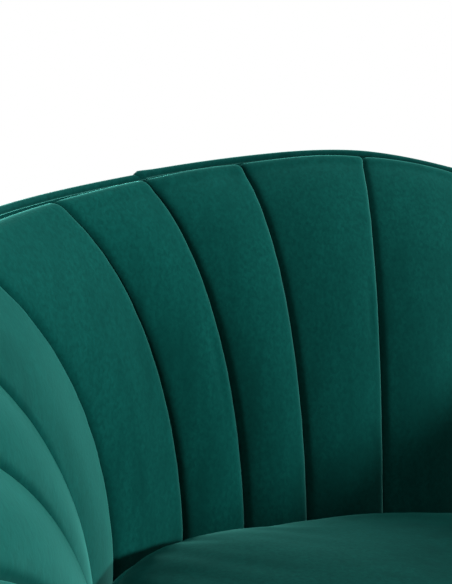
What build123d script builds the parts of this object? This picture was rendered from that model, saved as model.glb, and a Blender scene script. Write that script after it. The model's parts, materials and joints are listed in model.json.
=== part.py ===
"""Tub chair with a fan of sewn channels inside the back and arms, and a loose seat cushion.

Millimetres. X runs across the chair, Y to the back, Z up. The origin lies on the floor under the
middle of the chair's box. Left is the side of negative X, as seen from the front.
"""

import os
from math import asin, cos, pi, sin

from build123d import *

os.makedirs("parts", exist_ok=True)

# Overall sizes
overall_width = 732.2
overall_depth = 600.0
arm_wall = 107.3  # from the seat line to the outside of the arms
seat_level = 430.0  # where the seat cushion meets the back
back_rise = 320.0  # rim above the seat level at the middle of the back
arm_rise = 139.0  # rim above the seat level at the arms
cushion_overhang = 28.0  # how far the cushion stands in front of the arms' frame

# Plan of the tub: a flat middle, a round corner and straight arms
seat_corner = 125.5
rim_corner = 264.4
back_lean = 56.5  # how far the rim lies behind the seat line

# Fan of channels, counted in channel widths from the middle of the back
seat_pitch = 62.4
rim_pitch = 110.6
seams = (0.0, 1.11, 1.975, 2.81, 3.98, 5.04, 5.98, 7.0)
fall_end = 7.41  # where the rim has come down to the arms
fall_power = 0.885

# Working values for slopes, searches and lofts
slope_step = 0.01
search_rounds = 50
search_end = 16.0  # channel widths, past the front of the fan
back_sections = 11
arm_sections = 10
board_arcs = 3

# Wall profile from the seat line to the rim, as shares of its run and rise
foot_lean = 0.10
foot_pull = 0.63
roll_pull = 0.32
roll_drop = 0.05

# Channel pads
pad_crown = 7.0
pad_crown_rim = 2.0
pad_depth = 22.0
pad_depth_rim = 8.0
pad_gap = 0.8
pad_end = 0.97  # share of the profile at which the pads stop under the piping
pad_levels = (-1.0, 0.0, 0.16, 0.32, 0.48, 0.64, 0.8, pad_end)

# Boards, rails and covers of the wall
board_gap = 2.5
board_thick = 4.0
board_end = 0.9
cover_thick = 3.0
cover_gap = 1.5
shoulder_out = 16.0
shoulder_drop = 22.0
lip_out = 4.3
bulge_out = 18.0
bulge_drop = 80.0
base_inset = 12.0
piping_radius = 3.5
piping_sides = 8
piping_out = 1.6
piping_up = 3.7
corner_split = 55.0  # degrees round the corner where back and arm panels meet
rib_thick = 18.0
rib_angles = (32.0, 80.0)
rib_back = 60.0  # back ribs from the middle
rail_drop = 85.0
rail_tall = 40.0
rail_thick = 18.0
rib_gap = 2.5
rib_point = 1.0  # least width of a rib's foot
post_thick = 24.0
facing_thick = 10.0
facing_levels = (0.0, 0.3, 0.6, 0.8, pad_end)  # points of the arm fronts' inner edge

# Base, suspension and deck
base_bottom = 180.0
base_tall = 70.0
base_thick = 25.0
bend_tail = 30.0  # straight ends of the bent back rail
ring_thick = 18.0
ring_reach = 30.0  # how far the ring reaches inside the seat line
fit_gap = 0.3
strap_wide = 50.0
strap_thick = 1.6
strap_landing = 14.0
strap_places = (-150.0, -50.0, 50.0, 150.0)
cross_places = (-170.0, -60.0, 50.0)
deck_gap = 4.0
deck_thick = 38.0
border_thick = 4.0
dust_thick = 0.8

# Seat cushion
cushion_edge = 418.0  # height of its top seam
cushion_crown = 32.0
cushion_gap = 3.0
cushion_neck = 5.0
cushion_draw = 7.0
cushion_round = 14.0
crown_steps = ((14.0, 0.40), (40.0, 0.70), (70.0, 0.90), (100.0, 1.0))
cushion_front_radius = 40.0
zip_long = 230.0
zip_tall = 14.0
zip_thick = 1.0
zip_gap = 0.8
teeth_tall = 4.0
teeth_thick = 0.8
slider_long = 11.0
slider_tall = 8.0
slider_thick = 2.4
pull_long = 20.0
pull_tall = 5.0
pull_thick = 1.0

# Legs
glide_thick = 5.0
glide_radius = 11.0
leg_top_radius = 21.0
leg_foot_radius = 12.5
plate_wide = 64.0
plate_thick = 4.0
block_wide = 110.0
block_tall = 50.0
block_chamfer = 50.0
leg_inset = 46.0  # leg's middle from the corner of the rails
leg_splay = 24.0
bolt_radius = 4.0
bolt_into_leg = 30.0
bolt_into_block = 24.0
hole_gap = 0.2
screw_radius = 2.0
screw_long = 16.0
screw_head_radius = 4.0
screw_head_thick = 2.4
screw_inset = 9.0

# Places that follow from these sizes
rim_half_width = overall_width / 2 - bulge_out
rim_flat = rim_half_width - rim_corner
rim_middle = overall_depth / 2 - bulge_out - rim_corner
seat_half_width = overall_width / 2 - arm_wall
seat_flat = seat_half_width - seat_corner
seat_middle = rim_middle + rim_corner - back_lean - seat_corner
arm_front = cushion_overhang - overall_depth / 2
rim_turn = rim_corner * pi / 2
rim_front = rim_flat + rim_turn + rim_middle - arm_front
base_top = base_bottom + base_tall
ring_top = base_top + ring_thick
deck_bottom = ring_top + 2 * strap_thick + 3 * fit_gap
deck_top = deck_bottom + deck_thick
rail_out = -base_inset - cover_thick - cover_gap
pad_foot = ring_top + fit_gap


def keep(piece, name):
    """Label a finished piece and write it."""
    piece.part.label = name
    export_step(piece.part, f"parts/{name}.step")


def keep_mirrored(piece, name):
    """Write the mirror image of a piece on the other side of the chair."""
    with BuildPart() as twin:
        mirror(piece.part, about=Plane.YZ)
    keep(twin, name)


def plan_point(flat, corner, middle, along):
    """Point of a plan curve at a length along it from the middle of the back."""
    angle = min(max(along - flat, 0), corner * pi / 2) / corner
    straight = max(along - flat - corner * pi / 2, 0)
    return Vector(min(along, flat) + corner * sin(angle), middle + corner * cos(angle) - straight)


def rise(count):
    """Height of the rim above the seat level at a number of channel widths from the middle."""
    turn = pi * min(abs(count) / fall_end, 1) ** fall_power
    return arm_rise + (back_rise - arm_rise) * (1 + cos(turn)) / 2


def wall(count, level):
    """Point of the seam surface: level 0 is the seat line, 1 the rim, and -1 the pads' foot."""
    foot = plan_point(seat_flat, seat_corner, seat_middle, count * seat_pitch)
    if level <= 0:
        return Vector(foot.X, foot.Y, seat_level + level * (seat_level - pad_foot))
    rim = plan_point(rim_flat, rim_corner, rim_middle, count * rim_pitch)
    first = 3 * (1 - level) ** 2 * level
    second = 3 * (1 - level) * level**2
    out = first * foot_lean + second * (1 - roll_pull) + level**3
    up = first * foot_pull + second * (1 - roll_drop) + level**3
    place = foot + (rim - foot) * out
    return Vector(place.X, place.Y, seat_level + up * rise(count))


def wall_normal(count, level):
    """Direction square to the seam surface, towards the sitter."""
    along = wall(count + slope_step, level) - wall(max(count - slope_step, 0), level)
    up = wall(count, min(level + slope_step, 1)) - wall(count, level - slope_step)
    return along.cross(up).normalized()


def solve(test, low, high):
    """Place between low and high where a rising test changes sign."""
    for _ in range(search_rounds):
        middle = (low + high) / 2
        if test(middle) < 0:
            low = middle
        else:
            high = middle
    return (low + high) / 2


def front_count(level):
    """Channel count at which the seam surface reaches the front of the arms."""
    return solve(lambda count: arm_front - wall(count, level).Y, seams[-2], search_end)


def share(level):
    """Share of the way from the seat line to the rim."""
    return min(max(level, 0), 1)


def depth(level):
    """Thickness of the pads behind the seam surface."""
    return pad_depth + (pad_depth_rim - pad_depth) * share(level)


def rim_plane(along):
    """Upright plane square to the rim, with X outward from the rim and Y up."""
    point = plan_point(rim_flat, rim_corner, rim_middle, along)
    angle = min(max(along - rim_flat, 0), rim_turn) / rim_corner
    outward = Vector(sin(angle), cos(angle), 0)
    return Plane(origin=point, x_dir=outward, z_dir=outward.cross(Vector(0, 0, 1)))


def rim_height(along):
    return seat_level + rise(along / rim_pitch)


def cut(along, level):
    """Point of the seam surface in the plane square to the rim, as (out, up)."""
    plane = rim_plane(along)

    def ahead(count):
        return (wall(count, level) - plane.origin).dot(plane.z_dir)

    local = plane.to_local_coords(wall(solve(ahead, 0, search_end), level))
    return local.X, local.Y


def behind(along, level, distance):
    """Point behind the seam surface in the plane square to the rim."""
    low = cut(along, level - 2 * slope_step)
    high = cut(along, level)
    out, up = high[0] - low[0], high[1] - low[1]
    length = (out**2 + up**2) ** 0.5
    return high[0] + distance * up / length, high[1] - distance * out / length


def cover_points(along, inset):
    """Outer profile of the wall at an inset from the cover's face: lip, shoulder, bulge, base."""
    top = rim_height(along)
    across = shoulder_out - lip_out
    radius = (across**2 + shoulder_drop**2) / (2 * across)
    turn = asin(shoulder_drop / radius)

    def shoulder(angle):
        reach = radius - inset
        return shoulder_out - radius + reach * cos(angle), top - shoulder_drop + reach * sin(angle)

    return (
        shoulder(turn),
        shoulder(turn / 2),
        shoulder(0),
        (bulge_out - inset, top - bulge_drop),
        (-base_inset - inset, base_bottom),
    )


def cover_out(along, height, inset):
    """How far out the straight part of the outer profile lies at a height."""
    bulge, base = cover_points(along, inset)[3:]
    return base[0] + (bulge[0] - base[0]) * (height - base[1]) / (bulge[1] - base[1])


def stations(first, last, count):
    return [first + (last - first) * step / (count - 1) for step in range(count)]


def corner_along(degrees):
    """Length along the rim at an angle round its corner."""
    return rim_flat + rim_corner * degrees * pi / 180


def mirrored_plane(plane):
    """Mirror image of a rim plane, with its X outward and its Y up."""
    out = Vector(-plane.x_dir.X, plane.x_dir.Y, 0)
    place = Vector(-plane.origin.X, plane.origin.Y, 0)
    return Plane(origin=place, x_dir=out, z_dir=out.cross(Vector(0, 0, 1)))


def signed_plane(along):
    return rim_plane(along) if along >= 0 else mirrored_plane(rim_plane(-along))


def wall_loft(places, outline):
    """Loft a wall layer through planes square to the rim; outline draws one section."""
    with BuildPart() as layer:
        for along in places:
            with BuildSketch(signed_plane(along)):
                with BuildLine():
                    outline(abs(along))
                make_face()
        loft()
    return layer


def plan_sketch(flat, corner, middle, front):
    """Inside of a plan curve, closed across the front."""
    half = flat + corner
    turn = corner * cos(pi / 4)
    with BuildSketch() as plan:
        with BuildLine():
            Line((-half, front), (-half, middle))
            ThreePointArc((-half, middle), (-flat - turn, middle + turn), (-flat, middle + corner))
            Line((-flat, middle + corner), (flat, middle + corner))
            ThreePointArc((flat, middle + corner), (flat + turn, middle + turn), (half, middle))
            Line((half, middle), (half, front))
            Line((half, front), (-half, front))
        make_face()
    return plan.sketch


def seat_plan(inset, front):
    """Seat plan at an inset from the seat line."""
    return plan_sketch(seat_flat, seat_corner - inset, seat_middle, front)


def rim_plan(outset, front):
    """Rim plan at an outset from the rim line."""
    return plan_sketch(rim_flat, rim_corner + outset, rim_middle, front)


# Channel pads, each a loft of crowned sections along its two seams
def pad_section(first, last, level):
    start = wall(first, level)
    end = wall(last, level)
    middle = (first + last) / 2
    chord = (end - start).normalized()
    plane = Plane(origin=start, x_dir=chord, z_dir=chord.cross(wall_normal(middle, level)))
    wide = (end - start).length
    bow = plane.to_local_coords(wall(middle, level)).Y
    crown = pad_crown + (pad_crown_rim - pad_crown) * share(level) ** 2 + bow

    def back_corner(count, shift):
        """Corner behind a seam, along the seam's own normal so that neighbours stay clear."""
        local = plane.to_local_coords(wall(count, level) - wall_normal(count, level) * depth(level))
        return local.X + shift, local.Y

    start_back = back_corner(first, pad_gap)
    end_back = back_corner(last, -pad_gap)
    with BuildSketch(plane) as section:
        with BuildLine():
            ThreePointArc((pad_gap, 0), (wide / 2, crown), (wide - pad_gap, 0))
            Line((wide - pad_gap, 0), end_back)
            Line(end_back, start_back)
            Line(start_back, (pad_gap, 0))
        make_face()
    return section.sketch


def keep_pads():
    for number, first in enumerate(seams, start=1):
        sections = []
        for level in pad_levels:
            last = front_count(level) if number == len(seams) else seams[number]
            sections.append(pad_section(first, last, level))
        with BuildPart() as pad:
            loft(sections[:2])
            loft(sections[1:])
        name = f"channel_{number}" if number < len(seams) else "arm_front_panel"
        keep(pad, f"{name}_right")
        keep_mirrored(pad, f"{name}_left")


keep_pads()


# Inner board behind the pads
def board_outline(along):
    levels = [-1.0] + stations(0.0, board_end, 2 * board_arcs + 1)

    def face(extra):
        return [behind(along, level, depth(level) + board_gap + extra) for level in levels]

    front = face(0)
    back = face(board_thick)
    for edge in (front, back):
        Line(edge[0], edge[1])
        for first in range(1, 2 * board_arcs, 2):
            ThreePointArc(*edge[first : first + 3])
    Line(front[0], back[0])
    Line(front[-1], back[-1])


split = corner_along(corner_split)
back_places = stations(-split, split, back_sections)
arm_places = stations(split, rim_front, arm_sections)

inner_back_board = wall_loft(back_places, board_outline)
keep(inner_back_board, "inner_back_board")
inner_arm_board = wall_loft(arm_places, board_outline)
keep(inner_arm_board, "inner_arm_board_right")
keep_mirrored(inner_arm_board, "inner_arm_board_left")


# Outer cover from the rim to the base
def cover_outline(along):
    outer = cover_points(along, 0)
    inner = cover_points(along, cover_thick)
    for edge in (outer, inner):
        ThreePointArc(*edge[:3])
        Line(edge[2], edge[3])
        Line(edge[3], edge[4])
    Line(outer[0], inner[0])
    Line(outer[4], inner[4])


outer_back_cover = wall_loft(back_places, cover_outline)
keep(outer_back_cover, "outer_back_cover")
outer_arm_cover = wall_loft(arm_places, cover_outline)
keep(outer_arm_cover, "outer_arm_cover_right")
keep_mirrored(outer_arm_cover, "outer_arm_cover_left")


# Piping along the rim
with BuildPart() as rim_piping:
    for along in [-place for place in arm_places[::-1]] + back_places[1:-1] + arm_places:
        with BuildSketch(signed_plane(along)):
            with Locations((piping_out, rim_height(abs(along)) + piping_up)):
                RegularPolygon(piping_radius, piping_sides)
    loft()
keep(rim_piping, "rim_piping")


# Ribs between the boards, from the seat ring to the top rail
def rib_top(along):
    side = rib_thick / 2
    return min(rim_height(along - side), rim_height(along + side)) - rail_drop - rail_tall - fit_gap


def cavity(along, top):
    """Space between the inner board and the outer cover, where it is wide enough, up to a height."""
    room = board_gap + board_thick + rib_gap
    inset = cover_thick + cover_gap

    def above(level):
        return behind(along, level, depth(level) + room)[1] - top

    def spare(height):
        return cover_out(along, height, inset) - inner[0][0] - rib_point

    high = solve(above, 2 * slope_step, board_end)
    inner = [behind(along, level, depth(level) + room) for level in (0.0, high / 2, high)]
    foot = solve(spare, ring_top + fit_gap, seat_level)
    with BuildSketch(rim_plane(along)) as section:
        with BuildLine():
            Line((inner[0][0], foot), inner[0])
            ThreePointArc(*inner)
            Line(inner[2], (cover_out(along, top, inset), inner[2][1]))
            Line((cover_out(along, top, inset), inner[2][1]), (cover_out(along, foot, inset), foot))
            Line((cover_out(along, foot, inset), foot), (inner[0][0], foot))
        make_face()
    return section.sketch


for number, along in enumerate([rib_back] + [corner_along(angle) for angle in rib_angles], start=1):
    with BuildPart() as rib:
        extrude(cavity(along, rib_top(along)), amount=rib_thick / 2, both=True)
    keep(rib, f"rib_{number}_right")
    keep_mirrored(rib, f"rib_{number}_left")

with BuildPart() as arm_post:
    post_top = rim_height(rim_front) - rail_drop - rail_tall - fit_gap
    extrude(cavity(rim_front, post_top), amount=-post_thick)
keep(arm_post, "arm_post_right")
keep_mirrored(arm_post, "arm_post_left")


# Top rail on the ribs, in three lengths
def rail_outline(along):
    inset = cover_thick + cover_gap
    high = rim_height(along) - rail_drop
    low = high - rail_tall
    top_out = cover_out(along, high, inset)
    low_out = cover_out(along, low, inset)
    Polyline(
        (top_out, high),
        (low_out, low),
        (low_out - rail_thick, low),
        (top_out - rail_thick, high),
        close=True,
    )


back_rail_top = wall_loft(back_places, rail_outline)
keep(back_rail_top, "top_rail_back")
arm_rail_top = wall_loft(arm_places, rail_outline)
keep(arm_rail_top, "top_rail_right")
keep_mirrored(arm_rail_top, "top_rail_left")

# Base rails
bend_end = rim_middle - bend_tail
side_out = rim_half_width + rail_out
with BuildPart() as back_rail:
    with BuildSketch(Plane.XY.offset(base_bottom)):
        add(rim_plan(rail_out, bend_end))
        add(rim_plan(rail_out - base_thick, bend_end), mode=Mode.SUBTRACT)
    extrude(amount=base_tall)
keep(back_rail, "base_rail_back")

with BuildPart() as side_rail:
    with BuildSketch(Plane.XY.offset(base_bottom)):
        with Locations((side_out, arm_front)):
            Rectangle(base_thick, bend_end - fit_gap - arm_front, align=(Align.MAX, Align.MIN))
    extrude(amount=base_tall)
keep(side_rail, "base_rail_right")
keep_mirrored(side_rail, "base_rail_left")

with BuildPart() as front_rail:
    with BuildSketch(Plane.XY.offset(base_bottom)):
        with Locations((0, arm_front)):
            Rectangle(2 * (side_out - base_thick - fit_gap), base_thick, align=(Align.CENTER, Align.MIN))
    extrude(amount=base_tall)
keep(front_rail, "base_rail_front")

with BuildPart() as seat_ring:
    with BuildSketch(Plane.XY.offset(base_top)):
        add(rim_plan(-base_inset, arm_front))
        add(seat_plan(ring_reach, arm_front + base_thick + ring_reach), mode=Mode.SUBTRACT)
    extrude(amount=ring_thick)
keep(seat_ring, "seat_ring")

# Corner blocks with their holes for the legs' bolts and screws
inner_side = side_out - base_thick
front_corner = Vector(inner_side - fit_gap, arm_front + base_thick + fit_gap)
back_reach = (rim_corner + rail_out - base_thick) * cos(pi / 4)
back_corner = Vector(rim_flat + back_reach, rim_middle + back_reach)
front_leg = front_corner + Vector(-leg_inset, leg_inset)
back_leg = back_corner + Vector(-leg_inset, -leg_inset)
leg_places = [(side * leg.X, leg.Y) for leg in (front_leg, back_leg) for side in (1, -1)]
screw_span = plate_wide - 2 * screw_inset

with BuildPart() as corner_blocks:
    for side in (1, -1):
        with BuildSketch(Plane.XY.offset(base_bottom)):
            x, y = side * front_corner.X, front_corner.Y
            near = side * (front_corner.X - block_wide)
            far = side * (front_corner.X - block_wide + block_chamfer)
            with BuildLine():
                Polyline(
                    (x, y),
                    (near, y),
                    (near, y + block_wide - block_chamfer),
                    (far, y + block_wide),
                    (x, y + block_wide),
                    close=True,
                )
            make_face()
        extrude(amount=block_tall)
        with BuildSketch(Plane.XY.offset(base_bottom)):
            with Locations((side * back_leg.X, back_leg.Y)):
                Rectangle(block_wide, block_wide)
            add(rim_plan(rail_out - base_thick - fit_gap, arm_front), mode=Mode.INTERSECT)
        extrude(amount=block_tall)
    with BuildSketch(Plane.XY.offset(base_bottom)):
        with Locations(*leg_places):
            Circle(bolt_radius + hole_gap)
            with GridLocations(screw_span, screw_span, 2, 2):
                Circle(screw_radius + hole_gap)
    extrude(amount=block_tall, mode=Mode.SUBTRACT)
keep(corner_blocks, "corner_blocks")

# Webbing straps on the seat ring
opening_half = seat_half_width - ring_reach
opening_back = seat_middle + seat_corner - ring_reach
opening_front = arm_front + base_thick + ring_reach
with BuildPart() as seat_webbing:
    strap_long = opening_back - opening_front + 2 * strap_landing
    with BuildSketch(Plane.XY.offset(ring_top + fit_gap)):
        for x in strap_places:
            with Locations((x, (opening_back + opening_front) / 2)):
                Rectangle(strap_wide, strap_long)
    extrude(amount=strap_thick)
    with BuildSketch(Plane.XY.offset(ring_top + strap_thick + 2 * fit_gap)):
        for y in cross_places:
            with Locations((0, y)):
                Rectangle(2 * (opening_half + strap_landing), strap_wide)
    extrude(amount=strap_thick)
keep(seat_webbing, "seat_webbing")

# Deck pad under the cushion
with BuildPart() as deck_pad:
    with BuildSketch(Plane.XY.offset(deck_bottom)):
        add(seat_plan(pad_crown + deck_gap, arm_front))
    extrude(amount=deck_thick)
keep(deck_pad, "deck_pad")

# Front border between the arms
with BuildPart() as front_border:
    with BuildSketch(Plane.XY.offset(base_bottom)):
        with Locations((0, arm_front - fit_gap)):
            Rectangle(2 * (seat_half_width - fit_gap), border_thick, align=(Align.CENTER, Align.MAX))
    extrude(amount=deck_top - base_bottom)
keep(front_border, "front_border")

# Arm fronts, which close the ends of the wall
with BuildPart() as arm_facing:
    with BuildSketch(rim_plane(rim_front).offset(fit_gap)):
        inner = [cut(rim_front, level) for level in facing_levels]
        outer = cover_points(rim_front, 0)
        with BuildLine():
            Line((inner[0][0], base_bottom), inner[0])
            ThreePointArc(*inner[:3])
            ThreePointArc(*inner[2:])
            Line(inner[4], outer[0])
            ThreePointArc(*outer[:3])
            Line(outer[2], outer[3])
            Line(outer[3], outer[4])
            Line(outer[4], (inner[0][0], base_bottom))
        make_face()
    extrude(amount=facing_thick)
keep(arm_facing, "arm_facing_right")
keep_mirrored(arm_facing, "arm_facing_left")

# Dust cover under the base, open round the legs' plates
with BuildPart() as dust_cover:
    with BuildSketch(Plane.XY.offset(base_bottom - fit_gap)):
        add(rim_plan(rail_out, arm_front))
        with Locations(*leg_places):
            Rectangle(plate_wide + 2 * fit_gap, plate_wide + 2 * fit_gap, mode=Mode.SUBTRACT)
    extrude(amount=-dust_thick)
keep(dust_cover, "dust_cover")

# Legs with their plates, bolts, screws and glides
plate_bottom = base_bottom - plate_thick
bolt_bottom = plate_bottom - bolt_into_leg
foot_places = []
for x, y in leg_places:
    foot_places.append((x + leg_splay * (1 if x > 0 else -1), y + leg_splay * (1 if y > 0 else -1)))

leg_names = ("front_right", "front_left", "back_right", "back_left")
for name, place, foot in zip(leg_names, leg_places, foot_places):
    with BuildPart() as leg:
        with BuildSketch(Plane.XY.offset(glide_thick)):
            with Locations(foot):
                Circle(leg_foot_radius)
        with BuildSketch(Plane.XY.offset(plate_bottom)):
            with Locations(place):
                Circle(leg_top_radius)
        loft()
        with Locations((*place, bolt_bottom - fit_gap)):
            Cylinder(
                bolt_radius + hole_gap,
                bolt_into_leg + fit_gap,
                align=(Align.CENTER, Align.CENTER, Align.MIN),
                mode=Mode.SUBTRACT,
            )
    keep(leg, f"leg_{name}")

with BuildPart() as leg_plates:
    with BuildSketch(Plane.XY.offset(plate_bottom)):
        with Locations(*leg_places):
            Rectangle(plate_wide, plate_wide)
            Circle(bolt_radius + hole_gap, mode=Mode.SUBTRACT)
            with GridLocations(screw_span, screw_span, 2, 2):
                Circle(screw_radius + hole_gap, mode=Mode.SUBTRACT)
    extrude(amount=plate_thick)
keep(leg_plates, "leg_plates")

with BuildPart() as leg_bolts:
    with BuildSketch(Plane.XY.offset(bolt_bottom)):
        with Locations(*leg_places):
            Circle(bolt_radius)
    extrude(amount=bolt_into_leg + plate_thick + bolt_into_block)
keep(leg_bolts, "leg_bolts")

with BuildPart() as plate_screws:
    with BuildSketch(Plane.XY.offset(plate_bottom - screw_head_thick)):
        with Locations(*leg_places):
            with GridLocations(screw_span, screw_span, 2, 2):
                Circle(screw_head_radius)
    extrude(amount=screw_head_thick)
    with BuildSketch(Plane.XY.offset(plate_bottom)):
        with Locations(*leg_places):
            with GridLocations(screw_span, screw_span, 2, 2):
                Circle(screw_radius)
    extrude(amount=screw_long)
keep(plate_screws, "plate_screws")

with BuildPart() as glides:
    with BuildSketch():
        with Locations(*foot_places):
            Circle(glide_radius)
    extrude(amount=glide_thick)
keep(glides, "glides")

# Seat cushion: a border drawn in at mid height, and a crown above its top seam
cushion_inset = pad_crown + cushion_gap
cushion_bottom = deck_top + fit_gap
cushion_front = arm_front - cushion_overhang
border_tall = cushion_edge - cushion_bottom


def cushion_section(inset, height):
    """Cushion's plan at a height, drawn in all round by an inset."""
    with BuildSketch(Plane.XY.offset(height)) as section:
        edge = cushion_inset + inset
        half = seat_half_width - edge
        corner = seat_corner - edge
        turn = corner * cos(pi / 4)
        front = cushion_front + inset
        radius = cushion_front_radius
        slack = radius * (1 - cos(pi / 4))
        with BuildLine():
            for side in (1, -1):
                Line((side * half, front + radius), (side * half, seat_middle))
                ThreePointArc(
                    (side * half, seat_middle),
                    (side * (seat_flat + turn), seat_middle + turn),
                    (side * seat_flat, seat_middle + corner),
                )
                ThreePointArc(
                    (side * half, front + radius),
                    (side * (half - slack), front + slack),
                    (side * (half - radius), front),
                )
            Line((-seat_flat, seat_middle + corner), (seat_flat, seat_middle + corner))
            Line((radius - half, front), (half - radius, front))
        make_face()
    return section.sketch


border_sections = [
    cushion_section(cushion_neck, cushion_bottom),
    cushion_section(0, cushion_bottom + cushion_round),
    cushion_section(cushion_draw, cushion_bottom + border_tall / 2),
    cushion_section(0, cushion_edge - cushion_round),
    cushion_section(cushion_neck, cushion_edge),
]
crown_sections = [cushion_section(cushion_neck, cushion_edge)]
for inset, part_up in crown_steps:
    crown_sections.append(cushion_section(inset, cushion_edge + part_up * cushion_crown))
with BuildPart() as seat_cushion:
    loft(border_sections)
    loft(crown_sections)
keep(seat_cushion, "seat_cushion")

# Zip across the back of the cushion's border
zip_face = seat_middle + seat_corner - cushion_inset - cushion_draw + zip_gap
zip_height = cushion_bottom + border_tall / 2
teeth_back = zip_face + zip_thick + teeth_thick
with BuildPart() as cushion_zip:
    with BuildSketch(Plane.XZ.offset(-zip_face)):
        with Locations((0, zip_height)):
            Rectangle(zip_long, zip_tall)
    extrude(amount=-zip_thick)
    with BuildSketch(Plane.XZ.offset(-zip_face - zip_thick)):
        with Locations((0, zip_height)):
            Rectangle(zip_long, teeth_tall)
    extrude(amount=-teeth_thick)
keep(cushion_zip, "cushion_zip")

slider_place = zip_long / 2 - slider_long
with BuildPart() as zip_slider:
    with BuildSketch(Plane.XZ.offset(-teeth_back - fit_gap)):
        with Locations((slider_place, zip_height)):
            RectangleRounded(slider_long, slider_tall, slider_tall / 4)
    extrude(amount=-slider_thick)
    with BuildSketch(Plane.XZ.offset(-teeth_back - fit_gap - slider_thick)):
        with Locations((slider_place - slider_long / 2, zip_height)):
            SlotOverall(pull_long, pull_tall)
    extrude(amount=-pull_thick)
keep(zip_slider, "zip_slider")
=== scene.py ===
"""Tub chair in green velvet, with a fan of sewn channels inside its back and arms.

Metres, in the frame of the CAD model: X across the chair, Y to the back, Z up from the floor.
"""

import json
from math import cos, exp, pi, radians, sin

import bmesh
import bpy
import numpy as np
from mathutils import Matrix, Vector, noise


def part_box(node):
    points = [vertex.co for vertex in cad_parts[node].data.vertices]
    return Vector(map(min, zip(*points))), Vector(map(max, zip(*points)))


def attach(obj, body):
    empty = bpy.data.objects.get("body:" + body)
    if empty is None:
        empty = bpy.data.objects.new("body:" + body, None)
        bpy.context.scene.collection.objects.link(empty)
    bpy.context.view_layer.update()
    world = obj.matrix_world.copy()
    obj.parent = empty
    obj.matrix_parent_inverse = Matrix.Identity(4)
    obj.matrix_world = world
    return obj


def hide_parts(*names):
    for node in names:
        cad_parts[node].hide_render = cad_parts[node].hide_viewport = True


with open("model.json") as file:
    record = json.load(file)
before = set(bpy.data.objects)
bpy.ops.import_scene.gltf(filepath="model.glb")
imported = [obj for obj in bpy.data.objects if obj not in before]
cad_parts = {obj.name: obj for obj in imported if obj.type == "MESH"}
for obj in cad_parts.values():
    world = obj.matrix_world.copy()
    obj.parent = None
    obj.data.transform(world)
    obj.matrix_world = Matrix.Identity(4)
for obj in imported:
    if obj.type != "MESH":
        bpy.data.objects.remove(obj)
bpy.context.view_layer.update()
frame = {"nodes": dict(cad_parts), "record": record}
nodes = frame["nodes"]

# Shape of the tub, as in the CAD model
overall_depth = 0.600
seat_level = 0.430
back_rise = 0.320
arm_rise = 0.139
arm_front = -0.272
seat_flat = 0.1333
seat_corner = 0.1255
rim_flat = 0.0837
rim_corner = 0.2644
back_lean = 0.0565
seat_pitch = 0.0624
rim_pitch = 0.1106
seams = (0.0, 1.11, 1.975, 2.81, 3.98, 5.04, 5.98, 7.0)
fall_end = 7.41
fall_power = 0.885
search_end = 16.0
foot_lean = 0.10
foot_pull = 0.63
roll_pull = 0.32
roll_drop = 0.05
base_bottom = 0.180
pad_foot = 0.2683
shoulder_out = 0.016
shoulder_drop = 0.022
lip_out = 0.0043
bulge_out = 0.018
bulge_drop = 0.080
base_inset = 0.012
base_curve = 1.15  # how late the outside draws in to the base
cover_thick = 0.003
corner_split = radians(55)
piping_out = 0.0016
piping_up = 0.0037
facing_thick = 0.010
fit_gap = 0.0003
rim_middle = overall_depth / 2 - bulge_out - rim_corner
seat_middle = rim_middle + rim_corner - back_lean - seat_corner
rim_front = rim_flat + rim_corner * pi / 2 + rim_middle - arm_front
split = rim_flat + rim_corner * corner_split

# Meshes
sharp_edge = radians(55)  # edges with a greater angle stay crisp
nearly_upright = 0.2  # level part of a direction below which it counts as upright
halvings = 40  # steps of a search by halves
arc_steps = 24

# Channel pads. A noise is given by its scale and seed, a round edge by its width and depth.
pad_crown = 0.007
pad_top = 0.990  # level where the channels turn in under the rim's piping
pad_depth = 0.022
pad_depth_rim = 0.008
pad_thin = 0.0015  # least thickness of a pad where it turns in
pad_gap = 0.0005
pad_columns = 29
pad_rows = 60
pad_foot_rows = 6
pad_edge = (0.006, 0.005)
pad_rim_edge = (0.034, 0.0110)
roll_swell = 0.003  # fullness of the channels a little below the rim
roll_wide = 0.045
roll_scale = 27 / 4  # brings the top of the roll's curve to 1
rim_seam_share = 0.60  # how much of the seams' depth is left at the rim
rim_seam_start = 0.8  # level from which the seams grow shallow
rim_seam_fade = 0.2
pucker = 0.0006
pucker_wide = 0.010
pucker_noise = (75, 3)
unevenness = 0.0010
unevenness_noise = (13, 7)

# Small tucks beside a seam: the channel's two seams and the height of the tuck
tucks = ((-seams[1], seams[0], 0.600), (-seams[3], -seams[2], 0.555))
tuck_deep = 0.0012
tuck_inset = 0.010
tuck_wide = 0.003
tuck_tall = 0.034

# Outer cover
cover_rows = 60
cover_columns_back = 90
cover_columns_arm = 60
cover_edge = (0.004, 0.0018)
cover_slack = 0.0012
cover_slack_from = 0.05  # the slack is full at this distance from a seam
cover_noise = (6, 11)

# Rim piping. At the joint the right length lies over the left one.
rim_piping_steps_left = 90
rim_piping_steps_right = 260
rim_piping_radius = 0.0032
rim_piping_sunk = 0.0026
joint = -2.0 * rim_pitch
joint_overlap = 0.010
under_share = 0.9
under_drop = 0.0016
under_long = 0.12
over_swell = 0.22
over_place = 0.004
over_long = 0.010
over_end = (0.003, 0.45)
flange_steps = 240
flange_heights = (-0.004, -0.011)  # below the piping, from the rim
flange_half = 0.0006

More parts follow.
